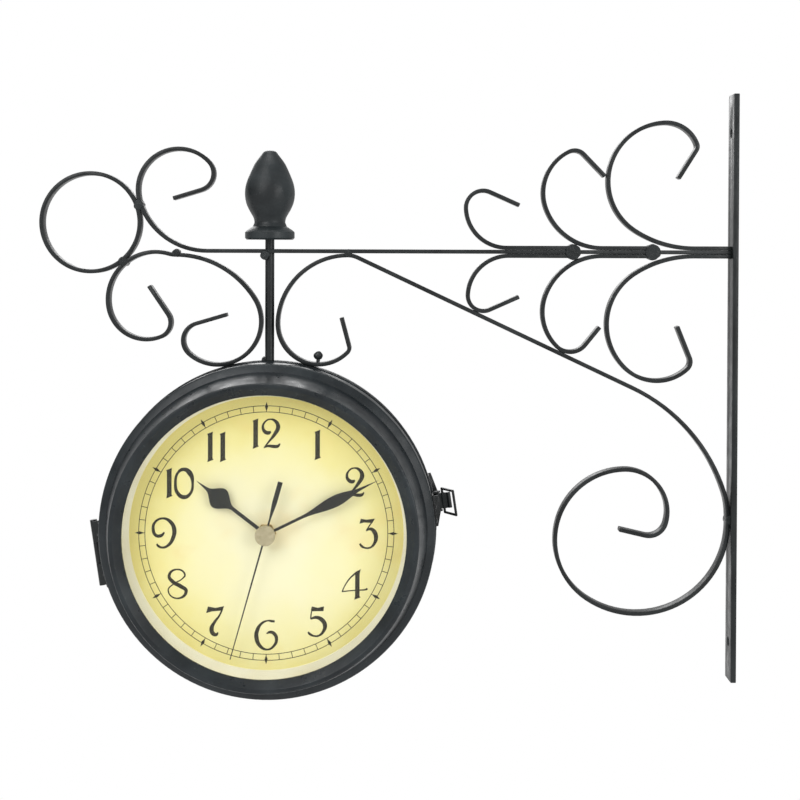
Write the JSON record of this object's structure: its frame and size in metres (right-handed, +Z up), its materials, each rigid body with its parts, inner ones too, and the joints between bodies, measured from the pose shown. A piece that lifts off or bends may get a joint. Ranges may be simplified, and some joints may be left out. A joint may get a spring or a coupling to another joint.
{
  "type": "double sided station clock",
  "caption": "Round clock with a dial on each side, hung from a scrolled wrought-iron wall bracket with a flat wall plate, an end ring and an acorn finial.",
  "frame": {"origin": "centre of the two-screw pattern on the wall plate's back face, which lies against the wall", "axes": "+X into the wall, so the bracket reaches to -X; +Z up; the front dial faces -Y and the rear dial faces +Y"},
  "size_m": [0.3796, 0.077, 0.3287],
  "materials": {
    "bracket_paint": "satin black paint over wrought iron",
    "finial_paint": "semi-gloss black paint over cast metal",
    "case_paint": "satin black paint",
    "fittings": "satin black paint",
    "glass": "clear",
    "dial_ring": "cream enamel",
    "dial_print": "matt antique cream print",
    "retainer_steel": "zinc plated",
    "movement_plastic": "matt black",
    "battery_jacket": "plain wrapped cell",
    "contact_steel": "nickel plated",
    "bush_brass": "turned",
    "gasket_rubber": "matt",
    "knob_plastic": "matt",
    "hand_paint": "matt black",
    "cap_metal": "satin"
  },
  "bodies": {
    "bracket_and_case": {"arm_bar": "bracket_paint", "brace_scroll": "bracket_paint", "case_rivets": "fittings", "end_ring": "bracket_paint", "finial": "finial_paint", "foot_rivet": "bracket_paint", "hanger_post": "bracket_paint", "hinge_leaf_rear": "fittings", "hinge_pin": "fittings", "large_scroll_lower": "bracket_paint", "large_scroll_upper": "bracket_paint", "latch_base": "fittings", "latch_pin": "fittings", "left_scroll": "bracket_paint", "middle_scroll_lower": "bracket_paint", "middle_scroll_upper": "bracket_paint", "rear_battery": "battery_jacket", "rear_battery_contacts": "contact_steel", "rear_centre_bush": "bush_brass", "rear_dial": "dial_print", "rear_dial_ring": "dial_ring", "rear_gasket": "gasket_rubber", "rear_glass": "glass", "rear_movement_case": "movement_plastic", "rear_movement_lid": "movement_plastic", "rear_nut": "bush_brass", "rear_retaining_ring": "retainer_steel", "rear_shell": "case_paint", "small_scroll_lower": "bracket_paint", "small_scroll_upper": "bracket_paint", "wall_plate": "bracket_paint", "weld_beads": "bracket_paint"},
    "front_door": {"front_shell": "case_paint", "front_glass": "glass", "front_dial_ring": "dial_ring", "front_dial": "dial_print", "front_retaining_ring": "retainer_steel", "hinge_leaf_door": "fittings", "latch_keeper": "fittings", "door_rivets": "fittings", "front_movement_case": "movement_plastic", "front_movement_lid": "movement_plastic", "front_battery": "battery_jacket", "front_battery_contacts": "contact_steel", "front_centre_bush": "bush_brass", "front_gasket": "gasket_rubber", "front_nut": "bush_brass"},
    "lever": {"latch_lever": "fittings"},
    "bail": {"latch_bail": "fittings"},
    "front_second": {"front_second_hand": "hand_paint", "front_hand_cap": "cap_metal"},
    "front_minute": {"front_minute_hand": "hand_paint"},
    "front_hour": {"front_hour_hand": "hand_paint"},
    "front_knob": {"front_setting_knob": "knob_plastic"},
    "rear_second": {"rear_second_hand": "hand_paint", "rear_hand_cap": "cap_metal"},
    "rear_minute": {"rear_minute_hand": "hand_paint"},
    "rear_hour": {"rear_hour_hand": "hand_paint"},
    "rear_knob": {"rear_setting_knob": "knob_plastic"}
  },
  "joints": [
    {"name": "door_hinge", "type": "hinge", "parent": "bracket_and_case", "child": "front_door", "pos_m": [-0.34816, 0, -0.0912], "axis": [0.1478, 0, -0.989], "range_deg": [0, 115]},
    {"name": "latch_lever_turn", "type": "hinge", "parent": "bracket_and_case", "child": "lever", "pos_m": [-0.16213, 0.006, -0.0634], "axis": [-0.1478, 0, 0.989], "range_deg": [0, 84]},
    {"name": "latch_bail_turn", "type": "hinge", "parent": "lever", "child": "bail", "pos_m": [-0.15916, 0.006, -0.06295], "axis": [-0.1478, 0, 0.989], "range_deg": [-106.8, 0]},
    {"name": "front_second_turn", "type": "hinge", "parent": "front_door", "child": "front_second", "pos_m": [-0.2545, 0, -0.0772], "axis": [0, 1, 0], "continuous": true},
    {"name": "front_minute_turn", "type": "hinge", "parent": "front_door", "child": "front_minute", "pos_m": [-0.2545, 0, -0.0772], "axis": [0, 1, 0], "continuous": true},
    {"name": "front_hour_turn", "type": "hinge", "parent": "front_door", "child": "front_hour", "pos_m": [-0.2545, 0, -0.0772], "axis": [0, 1, 0], "continuous": true},
    {"name": "front_knob_turn", "type": "hinge", "parent": "front_door", "child": "front_knob", "pos_m": [-0.2545, 0, -0.0682], "axis": [0, 1, 0], "continuous": true},
    {"name": "rear_second_turn", "type": "hinge", "parent": "bracket_and_case", "child": "rear_second", "pos_m": [-0.2545, 0, -0.0772], "axis": [0, -1, 0], "continuous": true},
    {"name": "rear_minute_turn", "type": "hinge", "parent": "bracket_and_case", "child": "rear_minute", "pos_m": [-0.2545, 0, -0.0772], "axis": [0, -1, 0], "continuous": true},
    {"name": "rear_hour_turn", "type": "hinge", "parent": "bracket_and_case", "child": "rear_hour", "pos_m": [-0.2545, 0, -0.0772], "axis": [0, -1, 0], "continuous": true},
    {"name": "rear_knob_turn", "type": "hinge", "parent": "bracket_and_case", "child": "rear_knob", "pos_m": [-0.2545, 0, -0.0682], "axis": [0, -1, 0], "continuous": true}
  ],
  "couplings": [
    {"joint": "latch_bail_turn", "follows": "latch_lever_turn", "ratio": -1.27},
    {"joint": "front_minute_turn", "follows": "front_second_turn", "ratio": 0.016667},
    {"joint": "front_hour_turn", "follows": "front_second_turn", "ratio": 0.0013889},
    {"joint": "front_knob_turn", "follows": "front_second_turn", "ratio": -0.0055556},
    {"joint": "rear_minute_turn", "follows": "rear_second_turn", "ratio": 0.016667},
    {"joint": "rear_hour_turn", "follows": "rear_second_turn", "ratio": 0.0013889},
    {"joint": "rear_knob_turn", "follows": "rear_second_turn", "ratio": -0.0055556}
  ]
}
